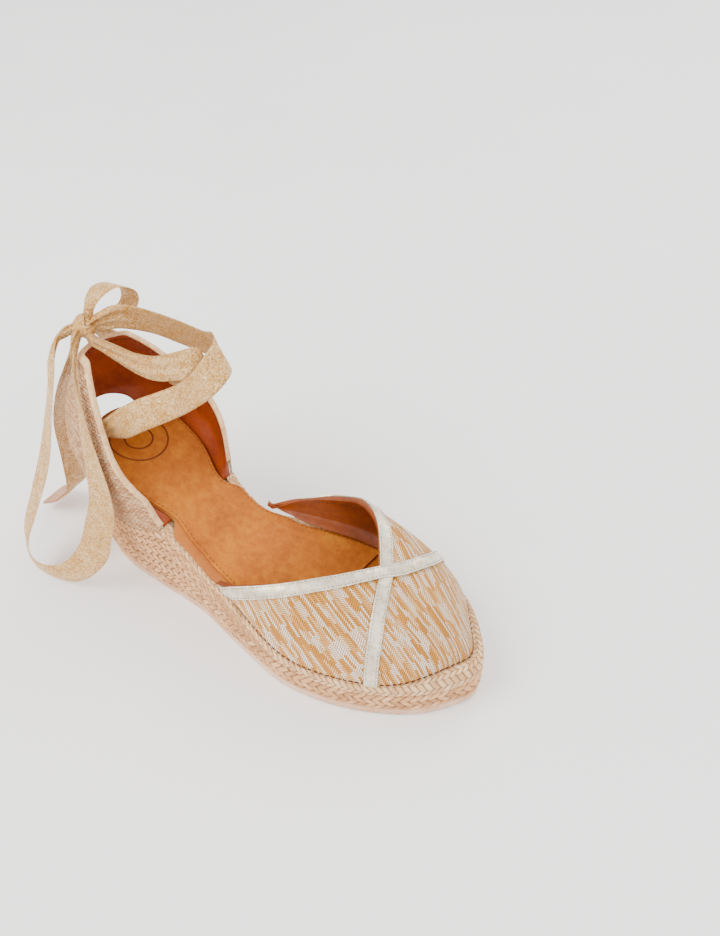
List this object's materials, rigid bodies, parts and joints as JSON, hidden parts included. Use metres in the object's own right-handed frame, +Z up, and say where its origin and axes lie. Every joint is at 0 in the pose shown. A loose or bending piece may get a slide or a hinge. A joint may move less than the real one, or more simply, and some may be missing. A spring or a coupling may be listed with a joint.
{
  "type": "wedge sandal",
  "caption": "Right-foot jute wedge sandal with a closed woven toe, an open waist, a heel counter and a ribbon that ties round the ankle.",
  "frame": {"origin": "on the ground under the outsole, at the middle of the shoe's length, near the foot's centre line", "axes": "+X points to the toe, +Y to the inner side of the foot, +Z up from the ground"},
  "size_m": [0.2799, 0.1128, 0.1634],
  "materials": {
    "outsole_rubber": "matt beige rubber",
    "core": "light foam, hidden",
    "jute_braid": "flat herringbone jute braid",
    "jute_rows": "plaited jute rows",
    "jute_edge": "pale stitched jute",
    "insole_board": "fibre board, hidden",
    "orange_leather": "smooth orange leather",
    "sock_suede": "brushed caramel suede",
    "emblem_print": "dark pressed rings",
    "raffia": "woven raffia in cream, white and gold",
    "white_felt": "stiffened felt, hidden",
    "lining_leather": "smooth red-brown leather",
    "silver_leather": "pale metallic leather",
    "jute_cloth": "ribbed jute cloth",
    "edge_cord": "stitched edge",
    "gold_ribbon": "pale gold lurex ribbon",
    "tip_leather": "folded pinkish leather"
  },
  "bodies": {
    "shoe": {"outsole": "outsole_rubber", "wedge_core": "core", "base_braid": "jute_braid", "course_1": "jute_rows", "course_2": "jute_rows", "course_3": "jute_rows", "course_4": "jute_rows", "course_5": "jute_rows", "jute_edge": "jute_edge", "insole_board": "insole_board", "insole_cover": "orange_leather", "sock_lining": "sock_suede", "heel_emblem": "emblem_print", "vamp_raffia": "raffia", "toe_puff": "white_felt", "vamp_lining": "lining_leather", "trim_outer": "silver_leather", "trim_inner": "silver_leather", "counter_cloth": "jute_cloth", "counter_stiffener": "white_felt", "counter_lining": "lining_leather", "counter_binding": "edge_cord", "ribbon_outer": "gold_ribbon", "ribbon_inner": "gold_ribbon", "ribbon_knot": "gold_ribbon", "bow_loop_up": "gold_ribbon"},
    "hanging_loop": {"bow_loop_hanging": "gold_ribbon"},
    "rear_end": {"tail_rear": "gold_ribbon", "tail_rear_tip": "tip_leather"},
    "inner_end": {"tail_inner": "gold_ribbon", "tail_inner_tip": "tip_leather"}
  },
  "joints": [
    {"name": "hanging_loop_swing", "type": "hinge", "parent": "shoe", "child": "hanging_loop", "pos_m": [-0.109, -0.006, 0.14], "axis": [-1, 0, 0], "range_deg": [0, 45]},
    {"name": "rear_end_swing", "type": "hinge", "parent": "shoe", "child": "rear_end", "pos_m": [-0.112, 0, 0.138], "axis": [0, 1, 0], "range_deg": [0, 60]},
    {"name": "inner_end_swing", "type": "hinge", "parent": "shoe", "child": "inner_end", "pos_m": [-0.112, 0.006, 0.14], "axis": [1, 0, 0], "range_deg": [0, 45]}
  ]
}
